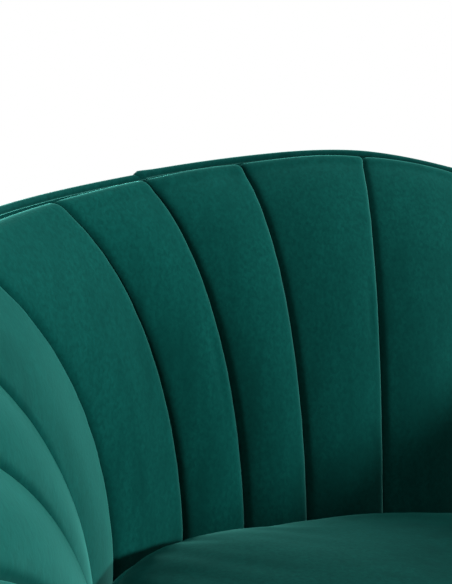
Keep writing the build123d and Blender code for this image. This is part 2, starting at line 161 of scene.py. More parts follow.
# Arm fronts, seat front and deck
arm_front_top = 0.985  # level where an arm front ends
arm_front_levels = 44
arm_front_foot_rows = 15
arm_front_rows = 70
arm_front_columns = 17
arm_front_edge = (0.010, 0.004)
arm_front_swell = 0.004
arm_front_uneven = 0.0008
arm_front_noise = (14, 5)
arm_piping_back = 0.003
trim_radius = 0.0030
border_columns = 41
border_rows = 17
border_edge = (0.008, 0.003)
border_swell = 0.003
border_uneven = 0.001
border_noise = (12, 2)
deck_steps = 41
deck_edge = (0.012, 0.010)

# Cushion
cushion_seam = 0.418
cushion_seam_low = 0.004  # height of the lower seam above the cushion's underside
cushion_neck = 0.005
cushion_front_radius = 0.040
cushion_crown = 0.032
crown_edge = 0.4  # share of the crown that rises close to its seam
crown_edge_length = 0.005
crown_length = 0.045
crown_dome = 0.001
cushion_voxel = 0.006
cushion_smoothing = 8
held_near = 0.003  # the cover is held this near to the height of a seam
held_wide = 0.014  # and this far in from the cushion's sides
zip_held = 0.135  # half the length of the border that the zip's tape holds flat
cushion_pucker = 0.0012
cushion_pucker_wide = 0.030
cushion_pucker_noise = (60, 4)
cushion_slack = 0.0012
cushion_slack_noise = (11, 9)
cushion_piping_steps = 260
cushion_piping_inset = 0.004
cushion_piping_up = 0.002
cloth_pressure = 2.0
cloth_stiffness = 100
cloth_bending = 1
cloth_quality = 5
cloth_mass = 0.03
cloth_damping = 8
cloth_frames = 20
cloth_cap = 0.003  # farthest that the simulation moves the cover
swell_rear = 0.0115  # lift of the back edge
swell_wide = 0.066
swell_middle = -0.030

# Materials
fibre_fineness = 8  # how much finer the fibres of wood are than its grain
wave_factor = 20  # built into the wave texture
velvet_roughness = 0.85
velvet_specular = 0.02
sheen = 0.75
sheen_roughness = 0.35
sheen_tint = (0.20, 0.92, 0.80, 1)
pile_strength = 0.12
pile_height = 0.0006

# Floor, which turns white between two distances from the chair, and lights
floor_half = 8.0
fade_start = 0.9
fade_end = 1.9
world_light = 0.07
lights = (  # name, place, target, size and power
    ("key", (2.05, -1.15, 1.21), (0, 0, 0.55), 0.25, 77),
    ("top", (0.1, 0.3, 2.6), (0, 0.1, 0.5), 1.2, 32),
    ("fill", (-1.6, -2.2, 1.6), (0, 0, 0.4), 2.0, 8.5),
    ("back", (-0.8, 2.4, 2.0), (0, 0, 0.5), 1.6, 40),
)

# Camera, from the fit of the seams and the rim in the photograph
camera_place = (-0.2799, -0.3184, 0.6073)
camera_yaw = radians(-14.13)
camera_pitch = radians(1.0)
camera_roll = radians(0.95)
focal_pixels = 693.4
image_height = 584
sensor = 36.0
camera_near = 0.01


# Surfaces of the tub
def plan(flat, corner, middle, along):
    """Plan curve at signed lengths along it from the middle of the back."""
    length = np.abs(along)
    angle = np.clip(length - flat, 0, corner * pi / 2) / corner
    straight = np.maximum(length - flat - corner * pi / 2, 0)
    x = np.sign(along) * (np.minimum(length, flat) + corner * np.sin(angle))
    return np.stack([x, middle + corner * np.cos(angle) - straight], -1)


def rise(count):
    """Height of the rim above the seat level at a number of channel widths from the middle."""
    turn = pi * np.minimum(np.abs(count) / fall_end, 1) ** fall_power
    return arm_rise + (back_rise - arm_rise) * (1 + np.cos(turn)) / 2


def wall(count, level):
    """Seam surface: level 0 is the seat line, 1 the rim, and -1 the foot of the channels."""
    count, level = np.broadcast_arrays(np.asarray(count, float), np.asarray(level, float))
    foot = plan(seat_flat, seat_corner, seat_middle, count * seat_pitch)
    rim = plan(rim_flat, rim_corner, rim_middle, count * rim_pitch)
    up_share = np.clip(level, 0, 1)
    first = 3 * (1 - up_share) ** 2 * up_share
    second = 3 * (1 - up_share) * up_share**2
    out = first * foot_lean + second * (1 - roll_pull) + up_share**3
    up = first * foot_pull + second * (1 - roll_drop) + up_share**3
    place = foot + (rim - foot) * out[..., None]
    height = seat_level + np.minimum(level, 0) * (seat_level - pad_foot) + up * rise(count)
    return np.concatenate([place, height[..., None]], -1)


def unit(vectors):
    """Vectors brought to length 1."""
    return vectors / np.linalg.norm(vectors, axis=-1, keepdims=True)


def wall_normal(count, level):
    """Direction square to the seam surface, towards the sitter."""
    step = 0.01
    along = wall(count + step, level) - wall(count - step, level)
    up = wall(count, np.minimum(level + step, 1)) - wall(count, level - step)
    return unit(np.cross(along, up))


def front_count(level):
    """Channel counts at which the seam surface reaches the front of the arms."""
    low = np.full_like(level, seams[-1] - 1)
    high = np.full_like(level, search_end)
    for _ in range(halvings):
        middle = (low + high) / 2
        short = wall(middle, level)[..., 1] > arm_front
        low = np.where(short, middle, low)
        high = np.where(short, high, middle)
    return high


def rim_height(along):
    """Height of the rim at a length along it from the middle of the back."""
    return seat_level + rise(along / rim_pitch)


def beside_rim(along, out, height):
    """Points at a distance outward from the rim's plan and at a height."""
    along, out, height = np.broadcast_arrays(along, out, height)
    angle = np.clip(np.abs(along) - rim_flat, 0, rim_corner * pi / 2) / rim_corner
    outward = np.stack([np.sign(along) * np.sin(angle), np.cos(angle)], -1)
    place = plan(rim_flat, rim_corner, rim_middle, along) + outward * out[..., None]
    return np.concatenate([place, height[..., None]], -1)


def cover_profile(along, inset, rows):
    """Outer profile of the wall from lip to base: outs and heights at each length along the rim."""
    across = shoulder_out - lip_out
    radius = (across**2 + shoulder_drop**2) / (2 * across)
    turn = np.arcsin(shoulder_drop / radius)
    shoulder_rows = rows // 4
    angle = np.linspace(turn, 0, shoulder_rows)[:, None]
    top = rim_height(along)
    arc_out = shoulder_out - radius + (radius - inset) * np.cos(angle) + 0 * top
    arc_up = top - shoulder_drop + (radius - inset) * np.sin(angle)
    down = np.linspace(0, 1, rows)[1:, None]
    height = (top - shoulder_drop) * (1 - down) + base_bottom * down
    share = np.clip((top - shoulder_drop - height) / (bulge_drop - shoulder_drop), 0, 1)
    below = np.clip((top - bulge_drop - height) / (top - bulge_drop - base_bottom), 0, 1)
    out = shoulder_out + (bulge_out - shoulder_out) * share
    out = out - (bulge_out + base_inset) * below**base_curve
    return np.concatenate([arc_out, out - inset]), np.concatenate([arc_up, height])


# Mesh builders
def finish_mesh(name, points, faces):
    """Smooth mesh object with outward normals and crisp sharp edges."""
    mesh = bpy.data.meshes.new(name)
    mesh.from_pydata([tuple(point) for point in points], [], faces)
    work = bmesh.new()
    work.from_mesh(mesh)
    bmesh.ops.remove_doubles(work, verts=work.verts, dist=1e-6)
    bmesh.ops.recalc_face_normals(work, faces=work.faces)
    for face in work.faces:
        face.smooth = True
    for edge in work.edges:
        edge.smooth = len(edge.link_faces) == 2 and edge.calc_face_angle(0) < sharp_edge
    work.to_mesh(mesh)
    work.free()
    piece = bpy.data.objects.new(name, mesh)
    bpy.context.scene.collection.objects.link(piece)
    return piece


def shell(name, front, back):
    """Closed mesh between two grids of points with the same rows and columns."""
    rows, columns = front.shape[:2]
    points = np.concatenate([front.reshape(-1, 3), back.reshape(-1, 3)])
    index = np.arange(rows * columns).reshape(rows, columns)
    behind = rows * columns
    faces = []
    for row in range(rows - 1):
        for column in range(columns - 1):
            quad = (
                index[row, column],
                index[row, column + 1],
                index[row + 1, column + 1],
                index[row + 1, column],
            )
            faces.append([int(corner) for corner in quad])
            faces.append([int(corner) + behind for corner in quad[::-1]])
    border = [*index[0, :-1], *index[:-1, -1], *index[-1, :0:-1], *index[:0:-1, 0]]
    for here, there in zip(border, border[1:] + border[:1]):
        faces.append([int(there), int(here), int(here) + behind, int(there) + behind])
    return finish_mesh(name, points, faces)


def tube(name, path, radii, sides=14, closed=False):
    """Round tube along a path of points, with its own radius at each."""
    path = np.asarray(path, float)
    count = len(path)
    radii = np.broadcast_to(radii, count)
    if closed:
        run = np.roll(path, -1, 0) - np.roll(path, 1, 0)
    else:
        run = np.gradient(path, axis=0)
    run = unit(run)
    side = np.cross(run, (0, 0, 1))
    upright = np.linalg.norm(side, axis=1) < nearly_upright
    side[upright] = np.cross(run[upright], (0, 1, 0))
    for place in range(1, count):
        if side[place] @ side[place - 1] < 0:
            side[place] = -side[place]
    side = unit(side)
    lift = np.cross(side, run)
    angle = np.linspace(0, 2 * pi, sides, endpoint=False)
    ring = side[:, None] * np.cos(angle)[:, None] + lift[:, None] * np.sin(angle)[:, None]
    points = (path[:, None] + ring * radii[:, None, None]).reshape(-1, 3)
    faces = []
    for place in range(count if closed else count - 1):
        here = place * sides
        there = (place + 1) % count * sides
        for corner in range(sides):
            turned = (corner + 1) % sides
            faces.append([here + corner, here + turned, there + turned, there + corner])
    if not closed:
        faces.append(list(range(sides)))
        faces.append(list(range((count - 1) * sides, count * sides)))
    return finish_mesh(name, points, faces)


def even_steps(path, count):
    """Path divided again into steps of the same length."""
    gaps = np.linalg.norm(np.diff(path, axis=0), axis=1)
    lengths = np.concatenate([[0], np.cumsum(gaps)])
    places = np.linspace(0, lengths[-1], count)
    columns = [np.interp(places, lengths, column) for column in path.T]
    return np.stack(columns, -1)


def uneven(points, scale, seed):
    """Soft random values, from -1 to 1, at points."""
    flat = points.reshape(-1, 3)
    values = [noise.noise(Vector(point) * scale + Vector((seed, 0, 0))) for point in flat]
    return np.array(values).reshape(points.shape[:-1])


def cosine_steps(count):
    """Steps from 0 to 1, close together at both ends."""
    return (1 - np.cos(np.linspace(0, pi, count))) / 2


def rounded(distance, wide, deep):
    """How far a padded surface drops near its edge, in a quarter round."""
    part = np.clip(distance / wide, 0, 1)
    return deep * (1 - np.sqrt(1 - (1 - part) ** 2))


# Materials
def add_node(tree, kind, **values):
    """Shader node of a kind, with some of its values set."""
    made = tree.nodes.new(kind)
    for key, value in values.items():
        setattr(made, key, value)
    return made


def noise_socket(tree, scale, stretch=(1, 1, 1), detail=2.0, distortion=0.0):
    """Noise over the piece's own coordinates."""
    coords = add_node(tree, "ShaderNodeTexCoord")
    mapping = add_node(tree, "ShaderNodeMapping")
    mapping.inputs["Scale"].default_value = stretch
    texture = add_node(tree, "ShaderNodeTexNoise")
    texture.inputs["Scale"].default_value = scale
    texture.inputs["Detail"].default_value = detail
    texture.inputs["Distortion"].default_value = distortion
    tree.links.new(coords.outputs["Object"], mapping.inputs["Vector"])
    tree.links.new(mapping.outputs["Vector"], texture.inputs["Vector"])
    return texture.outputs["Fac"]


def mixed(tree, factor, first, second):
    """Colour between two colours or colour sockets."""
    mix = add_node(tree, "ShaderNodeMix", data_type="RGBA")
    tree.links.new(factor, mix.inputs[0])
    for socket, colour in ((mix.inputs[6], first), (mix.inputs[7], second)):
        if isinstance(colour, tuple):
            socket.default_value = (*colour, 1)
        else:
            tree.links.new(colour, socket)
    return mix.outputs[2]


def ramped(tree, value, low, high):
    """Value stretched so that low becomes 0 and high 1."""
    spread = add_node(tree, "ShaderNodeMapRange")
    spread.inputs["From Min"].default_value = low
    spread.inputs["From Max"].default_value = high
    tree.links.new(value, spread.inputs["Value"])
    return spread.outputs["Result"]


def bumped(tree, shader, height, strength, distance):
    """Give a shader a bump from a height socket."""
    bump = add_node(tree, "ShaderNodeBump")
    bump.inputs["Strength"].default_value = strength
    bump.inputs["Distance"].default_value = distance
    tree.links.new(height, bump.inputs["Height"])
    tree.links.new(bump.outputs["Normal"], shader.inputs["Normal"])


def new_material(name, roughness, **constants):
    """Material with its tree and its shader, and constant values on the shader's sockets."""
    material = bpy.data.materials.new(name)
    material.use_nodes = True
    shader = material.node_tree.nodes["Principled BSDF"]
    shader.inputs["Roughness"].default_value = roughness
    for key, value in constants.items():
        shader.inputs[key.replace("_", " ")].default_value = value
    return material, material.node_tree, shader


def velvet(name, deep, light, sheen_weight):
    """Short-pile velvet: brushed patches, fine pile and a soft sheen at grazing angles."""
    material, tree, shader = new_material(
        name,
        velvet_roughness,
        Sheen_Weight=sheen_weight,
        Sheen_Roughness=sheen_roughness,
        Sheen_Tint=sheen_tint,
        Specular_IOR_Level=velvet_specular,
    )
    patches = noise_socket(tree, scale=7, stretch=(1, 1, 0.6), detail=3, distortion=0.8)
    patches = ramped(tree, patches, low=0.3, high=0.7)
    strokes = noise_socket(tree, scale=60, stretch=(1, 1, 0.25), detail=2, distortion=0.4)
    strokes = ramped(tree, strokes, low=0.3, high=0.75)
    mottle = noise_socket(tree, scale=330, stretch=(1, 1, 0.8), detail=4, distortion=0.5)
    colour = mixed(tree, patches, deep, light)
    brushed = mixed(tree, strokes, colour, light)
    grain = mixed(tree, ramped(tree, mottle, low=0.15, high=0.70), deep, brushed)
    tree.links.new(grain, shader.inputs["Base Color"])
    bumped(tree, shader, mottle, pile_strength, pile_height)
    return material


def grained(name, dark, pale, roughness, scale, stretch, bump):
    """Wood or board with a grain along one direction."""
    material, tree, shader = new_material(name, roughness)
    grain = noise_socket(tree, scale, stretch, detail=6, distortion=1.2)
    fibres = noise_socket(tree, scale * fibre_fineness, stretch)
    colour = mixed(tree, ramped(tree, grain, low=0.35, high=0.65), dark, pale)
    colour = mixed(tree, ramped(tree, fibres, low=0.3, high=0.9), colour, dark)
    tree.links.new(colour, shader.inputs["Base Color"])
    bumped(tree, shader, fibres, strength=bump, distance=0.0005)
    return material


def woven(name, dark, pale, pitch):
    """Plain woven or bonded cloth."""
    material, tree, shader = new_material(name, roughness=0.9)
    coords = add_node(tree, "ShaderNodeTexCoord")
    checks = []
    for axis in ("X", "Y"):
        wave = add_node(tree, "ShaderNodeTexWave", bands_direction=axis)
        wave.inputs["Scale"].default_value = 1 / pitch / wave_factor
        wave.inputs["Distortion"].default_value = 0.6
        tree.links.new(coords.outputs["Object"], wave.inputs["Vector"])
        checks.append(wave.outputs["Fac"])
    weave = add_node(tree, "ShaderNodeMath", operation="MULTIPLY")
    for number, check in enumerate(checks):
        tree.links.new(check, weave.inputs[number])
    tree.links.new(mixed(tree, weave.outputs[0], dark, pale), shader.inputs["Base Color"])
    bumped(tree, shader, weave.outputs[0], strength=0.4, distance=0.0004)
    return material


def speckled(name, dark, pale, roughness, metallic, scale):
    """Metal or plastic with fine wear."""
    material, tree, shader = new_material(name, roughness, Metallic=metallic)
    wear = noise_socket(tree, scale, detail=4)
    colour = mixed(tree, ramped(tree, wear, low=0.3, high=0.7), dark, pale)
    tree.links.new(colour, shader.inputs["Base Color"])
    bumped(tree, shader, wear, strength=0.08, distance=0.0003)
    return material


along_grain = (1, 1, 0.1)
along_leg = (1, 1, 0.08)
all_ways = (1, 1, 1)
looks = {
    "velvet": velvet("velvet", (0.0008, 0.041, 0.035), (0.0026, 0.076, 0.064), sheen),
    "piping": velvet("piping_velvet", (0.0008, 0.034, 0.030), (0.0026, 0.062, 0.053), sheen),
    "frame_wood": grained(
        "frame_wood",
        (0.42, 0.27, 0.14),
        (0.62, 0.44, 0.26),
        roughness=0.7,
        scale=12,
        stretch=along_grain,
        bump=0.25,
    ),
    "board": grained(
        "board",
        (0.27, 0.18, 0.10),
        (0.36, 0.25, 0.15),
        roughness=0.9,
        scale=120,
        stretch=all_ways,
        bump=0.3,
    ),
    "webbing": woven("webbing", (0.05, 0.04, 0.03), (0.14, 0.11, 0.08), pitch=0.002),
    "deck_cloth": woven(
        "deck_cloth", (0.004, 0.008, 0.008), (0.014, 0.022, 0.020), pitch=0.0012
    ),
    "dust_cloth": woven(
        "dust_cloth", (0.004, 0.004, 0.004), (0.016, 0.016, 0.017), pitch=0.0015
    ),
    "leg_wood": grained(
        "leg_wood",
        (0.010, 0.006, 0.004),
        (0.030, 0.016, 0.009),
        roughness=0.38,
        scale=14,
        stretch=along_leg,
        bump=0.1,
    ),
    "steel": speckled(
        "steel",
        (0.42, 0.42, 0.43),
        (0.56, 0.56, 0.57),
        roughness=0.35,
        metallic=1.0,
        scale=260,
    ),
    "glide": speckled(
        "glide",
        (0.010, 0.010, 0.010),
        (0.020, 0.020, 0.020),
        roughness=0.6,
        metallic=0.0,
        scale=300,
    ),
    "zip_tape": woven("zip_tape", (0.002, 0.020, 0.017), (0.004, 0.040, 0.034), pitch=0.0012),
    "zip_metal": speckled(
        "zip_metal",
        (0.010, 0.024, 0.021),
        (0.020, 0.040, 0.036),
        roughness=0.4,
        metallic=0.6,
        scale=400,
    ),
}
# Darker copy of the velvet, with less sheen, for the cushion: painted shade for the cushion's back
# edge, which lies in shadow beside the back
painted_shade_cushion_velvet = velvet(
    "painted_shade_cushion_velvet", (0.0005, 0.022, 0.019), (0.0016, 0.045, 0.038), sheen_weight=0.15
)
for entry in frame["record"]["subparts"]:
    mesh = nodes[entry["node"]].data
    mesh.materials.clear()
    mesh.materials.append(looks[entry["material_slot"]])


def dress(piece, slot, body, *replaced, look=None):
    """Give a piece its material, looked up by its record slot unless a look is given, and its body,
    and hide the solids it stands for.
    """
    piece.data.materials.append(look or looks[slot])
    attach(piece, body)
    if replaced:
        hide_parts(*replaced)
    return piece


# Channel pads
def depth(level):
    """Distance from the seam surface to the back of the pads."""
    return pad_depth + (pad_depth_rim - pad_depth) * np.clip(level, 0, 1)


def pad_levels():
    """Levels of the rows of a pad, from its foot to its top."""
    below = np.linspace(-1, 0, pad_foot_rows)[:-1]
    return np.concatenate([below, np.linspace(0, pad_top, pad_rows)])[:, None]


def channel_pad(name, first, last):
    """Crowned pad between two seams, given as channel counts for each level."""
    levels = pad_levels()
    first, last = (np.broadcast_to(count, levels.shape) for count in (first, last))
    wide = np.linalg.norm(wall(last, levels) - wall(first, levels), axis=-1)
    gap = pad_gap / wide
    across = gap + (1 - 2 * gap) * cosine_steps(pad_columns)[None, :]
    count = first + (last - first) * across
    seam_surface = wall(count, levels)
    normal = wall_normal(count, levels)
    arch = 1 - (2 * across - 1) ** 2
    level_share = np.clip(levels / pad_top, 0, 1)
    swell = pad_crown * (1 - level_share**4) * arch
    beside = np.minimum(across, 1 - across) * wide
    below_rim = (pad_top - levels) * rise(count)
    near_rim = np.clip((levels - rim_seam_start) / rim_seam_fade, 0, 1)
    fade = 1 - (1 - rim_seam_share) * near_rim**2
    swell = swell - fade * rounded(beside, *pad_edge)
    roll = np.clip(below_rim / roll_wide, 0, 1)
    swell = swell + roll_swell * roll_scale * roll * (1 - roll) ** 2
    swell = swell - rounded(below_rim, *pad_rim_edge)
    gathers = uneven(seam_surface, *pucker_noise) * np.exp(-beside / pucker_wide)
    lumps = uneven(seam_surface, *unevenness_noise) * arch
    swell = swell + pucker * gathers + unevenness * lumps
    for start, end, height in tucks:
        if np.allclose(first, start) and np.allclose(last, end):
            inset = (last - count) / (last - first) * wide - tuck_inset
            above = seam_surface[..., 2] - height
            spread = (inset / tuck_wide) ** 2 + (above / tuck_tall) ** 2
            swell = swell - tuck_deep * np.exp(-spread)
    front = seam_surface + normal * swell[..., None]
    back = seam_surface - normal * np.maximum(depth(levels), pad_thin - swell)[..., None]
    pad = shell(f"{name}_soft", front, back)
    return dress(pad, "velvet", "frame", name)


def build_channels():
    """All channels, and the last panel of padding at the front of each arm."""
    arm_end = front_count(pad_levels())
    for number, seam in enumerate(seams[:-1], start=1):
        channel_pad(f"channel_{number}_right", seam, seams[number])
        channel_pad(f"channel_{number}_left", -seams[number], -seam)
    channel_pad("arm_front_panel_right", seams[-1], arm_end)
    channel_pad("arm_front_panel_left", -arm_end, -seams[-1])


# Outer cover panels
def cover_panel(name, start, end, columns):
    """Panel of the outer cover between two lengths along the rim, with its edges turned in."""
    along = np.linspace(start, end, columns)[None, :]
    out, height = cover_profile(along, 0, cover_rows)
    inner_out, inner_height = cover_profile(along, cover_thick, cover_rows)
    edge = np.minimum(along - start, end - along)
    out = out - rounded(edge, *cover_edge)
    face = beside_rim(along, out, height)
    slack = cover_slack * uneven(face, *cover_noise) * np.clip(edge / cover_slack_from, 0, 1)
    face = beside_rim(along, out + slack, height)
    panel = shell(f"{name}_cloth", face, beside_rim(along, inner_out, inner_height))
    return dress(panel, "velvet", "frame", name)


def build_covers():
    """The three panels of the outer cover."""
    cover_panel("outer_back_cover", -split, split, cover_columns_back)
    cover_panel("outer_arm_cover_right", split, rim_front, cover_columns_arm)
    cover_panel("outer_arm_cover_left", -rim_front, -split, cover_columns_arm)


# Piping along the rim, with the joint where its two ends meet
def build_rim_piping():
    """Two lengths of piping, the right one over the left one at their joint."""
    left = np.linspace(-rim_front, joint + joint_overlap, rim_piping_steps_left)
    left_radius = np.full(len(left), rim_piping_radius * under_share)
    left_drop = under_drop * np.exp(-(((left - joint) / under_long) ** 2))
    right = np.linspace(joint, rim_front, rim_piping_steps_right)
    from_end = right - joint
    bead = over_swell * np.exp(-(((from_end - over_place) / over_long) ** 2))
    right_radius = rim_piping_radius * (1 + bead) * (1 - rounded(from_end, *over_end))
    lengths = []
    for name, along, radius, drop in (
        ("left", left, left_radius, left_drop),
        ("right", right, right_radius, 0),
    ):
        height = rim_height(along) + piping_up - rim_piping_sunk - drop
        path = beside_rim(along, piping_out, height)
        lengths.append(tube(f"rim_piping_{name}", path, radius))
    for piece in lengths:
        dress(piece, "piping", "frame")
    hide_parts("rim_piping")
    build_flange()


def build_flange():
    """Sewn edge of the piping, held between the channels and the outer cover."""
    along = np.linspace(-rim_front, rim_front, flange_steps)[None, :]
    above_rim = np.array([piping_up - rim_piping_sunk, *flange_heights])[:, None]
    height = rim_height(along) + above_rim
    front = beside_rim(along, piping_out - flange_half, height)
    back = beside_rim(along, piping_out + flange_half, height)
    dress(shell("piping_flange", front, back), "piping", "frame")


# Arm fronts with piping round them
def arm_front_outline(side):
    """Inner and outer edge of an arm front, from its foot to its top, as rows of (x, z)."""
    levels = np.linspace(0, arm_front_top, arm_front_levels)
    inner = wall(front_count(levels), levels)[:, ::2]
    foot_heights = np.linspace(base_bottom, seat_level, arm_front_foot_rows)[:-1]
    foot = np.stack([np.full(len(foot_heights), inner[0, 0]), foot_heights], -1)
    inner = np.concatenate([foot, inner])
    out, height = cover_profile(np.array([rim_front]), 0, cover_rows)
    outer = np.stack([rim_flat + rim_corner + out[:, 0], height[:, 0]], -1)[::-1]
    inner, outer = (even_steps(edge, arm_front_rows) for edge in (inner, outer))
    return inner * (side, 1), outer * (side, 1)


def along_arm_front(flat, y):
    """Points of an arm front, given as (x, z), at a depth."""
    return np.stack([flat[..., 0], np.full(flat.shape[:-1], y), flat[..., 1]], -1)


def build_arm_fronts():
    """Padded front of each arm, with piping round it."""
    for side, name in ((1, "right"), (-1, "left")):
        inner, outer = arm_front_outline(side)
        across = cosine_steps(arm_front_columns)[None, :]
        flat = inner[:, None] + (outer - inner)[:, None] * across[..., None]
        wide = np.linalg.norm(outer - inner, axis=1)[:, None]
        edge = np.minimum(across, 1 - across) * wide
        foot = flat[..., 1] - base_bottom
        drop = rounded(np.minimum(edge, foot), *arm_front_edge)
        swell = arm_front_swell * (1 - (2 * across - 1) ** 2)
        back = along_arm_front(flat, arm_front - fit_gap)
        front = back.copy()
        front[..., 1] += drop - swell - facing_thick
        front[..., 1] += arm_front_uneven * uneven(front, *arm_front_noise)
        facing = shell(f"arm_facing_{name}_soft", front, back)
        dress(facing, "velvet", "frame", f"arm_facing_{name}")
        loop = np.concatenate([inner, outer[::-1]])
        path = along_arm_front(loop, arm_front - facing_thick + arm_piping_back)
        dress(tube(f"arm_piping_{name}", path, trim_radius), "piping", "frame")


# Seat front, deck and cushion
def build_front_border():
    """Padded strip under the cushion, between the arms."""
    low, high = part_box("front_border")
    across = cosine_steps(border_columns)[None, :]
    up = cosine_steps(border_rows)[:, None]
    x = low.x + (high.x - low.x) * across + 0 * up
    z = low.z + (high.z - low.z) * up + 0 * across
    back = np.stack([x, np.full_like(x, high.y), z], -1)
    from_side = np.minimum(x - low.x, high.x - x)
    edge = np.minimum(from_side, np.minimum(z - low.z, high.z - z))
    swell = border_swell * (1 - (2 * up - 1) ** 2)
    front = back.copy()
    front[..., 1] = low.y - swell + rounded(edge, *border_edge)
    front[..., 1] += border_uneven * uneven(back, *border_noise)
    border = shell("front_border_soft", front, back)
    dress(border, "velvet", "frame", "front_border")


def build_deck():
    """Padded deck with rounded edges, in the plan of the seat."""
    low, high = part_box("deck_pad")
    inset = seat_flat + seat_corner - high.x
    corner = seat_corner - inset
    y = low.y + (high.y - low.y) * cosine_steps(deck_steps)[:, None]
    past = np.clip((y - seat_middle) / corner, 0, 1)
    half = seat_flat + corner * np.sqrt(1 - past**2)
    across = 2 * cosine_steps(deck_steps)[None, :] - 1
    x = half * across
    edge = np.minimum(half - np.abs(x), np.minimum(y - low.y, high.y - y))
    drop = rounded(edge, *deck_edge)
    top = np.stack([x, y + 0 * x, high.z - drop], -1)
    bottom = np.stack([x, y + 0 * x, np.full_like(x, low.z)], -1)
    deck = shell("deck_pad_soft", top, bottom)
    dress(deck, "deck_cloth", "frame", "deck_pad")


def cushion_outline(inset, height):
    """Plan of the cushion at an inset from its solid's widest outline, as a closed loop."""
    low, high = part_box("seat_cushion")
    half = high.x - inset
    corner = half - seat_flat
    radius = cushion_front_radius
    front = low.y + inset
    turn = np.linspace(0, pi / 2, arc_steps)
    sine, cosine = np.sin(turn), np.cos(turn)
    back_arc = np.stack([seat_flat + corner * cosine, seat_middle + corner * sine], -1)
    front_arc = np.stack([half - radius + radius * sine, front + radius - radius * cosine], -1)
    right = np.concatenate([[[0, front]], front_arc, back_arc, [[0, seat_middle + corner]]])
    loop = np.concatenate([right, right[-2:0:-1] * (-1, 1), right[:1]])
    loop = even_steps(loop, cushion_piping_steps + 1)[:-1]
    return np.concatenate([loop, np.full((len(loop), 1), height)], -1)


def fullness(inside):
    """Share of the crown's height at a distance inside its seam."""
    near = crown_edge * (1 - exp(-inside / crown_edge_length))
    return near + (1 - crown_edge) * (1 - exp(-inside / crown_length))


def crown_height(point, low, high):
    """Height of the cushion's crown above its top seam."""
    from_side = max(cushion_side_distance(point, high) - cushion_neck, 0)
    from_front = max(point.y - low.y - cushion_neck, 0)
    across = point.x / high.x
    along = (2 * point.y - low.y - high.y) / (high.y - low.y)
    dome = crown_dome * max(1 - across**2, 0) * max(1 - along**2, 0)
    return (cushion_crown + dome) * fullness(from_side) * fullness(from_front)


def rear_swell(x, y, z, low, high):
    """How far the stuffing lifts the cushion's back edge near its middle."""
    back = np.clip((y - seat_middle) / (high.y - seat_middle), 0, 1)
    up = np.clip((z - low.z) / (cushion_seam - low.z), 0, 1)
    across = np.exp(-(((x - swell_middle) / swell_wide) ** 2))
    return swell_rear * across * back**3 * up**2


def cushion_side_distance(point, high):
    """Distance inward from the cushion's widest outline at its sides and back."""
    corner = high.x - seat_flat
    side = high.x - abs(point.x)
    if point.y > seat_middle:
        past_flat = max(abs(point.x) - seat_flat, 0)
        return corner - Vector((past_flat, point.y - seat_middle)).length
    return min(side, corner + seat_middle - point.y)


def inflate(piece):
    """Blow a closed piece up as cloth, scale its motion down to a cap and keep the result."""
    start = np.array([vertex.co for vertex in piece.data.vertices])
    cloth = piece.modifiers.new("cloth", "CLOTH")
    cloth.settings.use_pressure = True
    cloth.settings.uniform_pressure_force = cloth_pressure
    cloth.settings.effector_weights.gravity = 0
    cloth.settings.quality = cloth_quality
    cloth.settings.mass = cloth_mass
    cloth.settings.air_damping = cloth_damping
    cloth.settings.tension_stiffness = cloth_stiffness
    cloth.settings.compression_stiffness = cloth_stiffness
    cloth.settings.bending_stiffness = cloth_bending
    cloth.settings.vertex_group_mass = "pinned"
    cloth.point_cache.frame_end = cloth_frames
    scene = bpy.context.scene
    for step in range(1, cloth_frames + 1):
        scene.frame_set(step)
    shaped = piece.evaluated_get(bpy.context.evaluated_depsgraph_get())
    moved = np.array([vertex.co for vertex in shaped.data.vertices]) - start
    piece.modifiers.remove(cloth)
    scene.frame_set(1)
    moved *= min(1, cloth_cap / np.linalg.norm(moved, axis=1).max())
    piece.data.vertices.foreach_set("co", (start + moved).ravel())
    piece.data.update()


def cushion_form(low, high):
    """Evenly divided copy of the cushion's solid, with a smooth crown on top."""
    mesh = nodes["seat_cushion"].data.copy()
    cushion = bpy.data.objects.new("seat_cushion_cover", mesh)
    bpy.context.scene.collection.objects.link(cushion)
    mesh.materials.clear()
    remesh = cushion.modifiers.new("remesh", "REMESH")
    remesh.voxel_size = cushion_voxel
    smooth = cushion.modifiers.new("smooth", "SMOOTH")
    smooth.iterations = cushion_smoothing
    shaped = cushion.evaluated_get(bpy.context.evaluated_depsgraph_get())
    cushion.data = bpy.data.meshes.new_from_object(shaped)
    cushion.modifiers.clear()
    for vertex in cushion.data.vertices:
        if vertex.co.z > cushion_seam:
            vertex.co.z = cushion_seam + crown_height(vertex.co, low, high)
    return cushion


def pin_cushion(cushion, seam_low, low, high):
    """Hold the cover along its two seams, at its bottom and at the zip."""
    pinned = cushion.vertex_groups.new(name="pinned")
    for vertex in cushion.data.vertices:
        x, y, z = vertex.co
        near_seam = min(abs(z - cushion_seam), abs(z - seam_low))
        side = min(cushion_side_distance(vertex.co, high), y - low.y)
        at_seam = near_seam < held_near and side < held_wide
        at_zip = abs(x) < zip_held and y > seat_middle and z < cushion_seam
        if z < seam_low or at_zip or at_seam:
            pinned.add([vertex.index], 1.0, "REPLACE")


def loosen_cushion(cushion, low, high):
    """Lift the cushion's back edge, and add puckers along the seam and slack on top."""
    places = np.array([vertex.co for vertex in cushion.data.vertices])
    gathers = cushion_pucker * uneven(places, *cushion_pucker_noise)
    slack = cushion_slack * uneven(places, *cushion_slack_noise)
    for vertex, gather, sag in zip(cushion.data.vertices, gathers, slack):
        inside = min(cushion_side_distance(vertex.co, high), vertex.co.y - low.y)
        vertex.co.z += rear_swell(vertex.co.x, vertex.co.y, vertex.co.z, low, high)
        if vertex.co.z > cushion_seam:
            vertex.co.z += gather * exp(-max(inside, 0) / cushion_pucker_wide) + sag


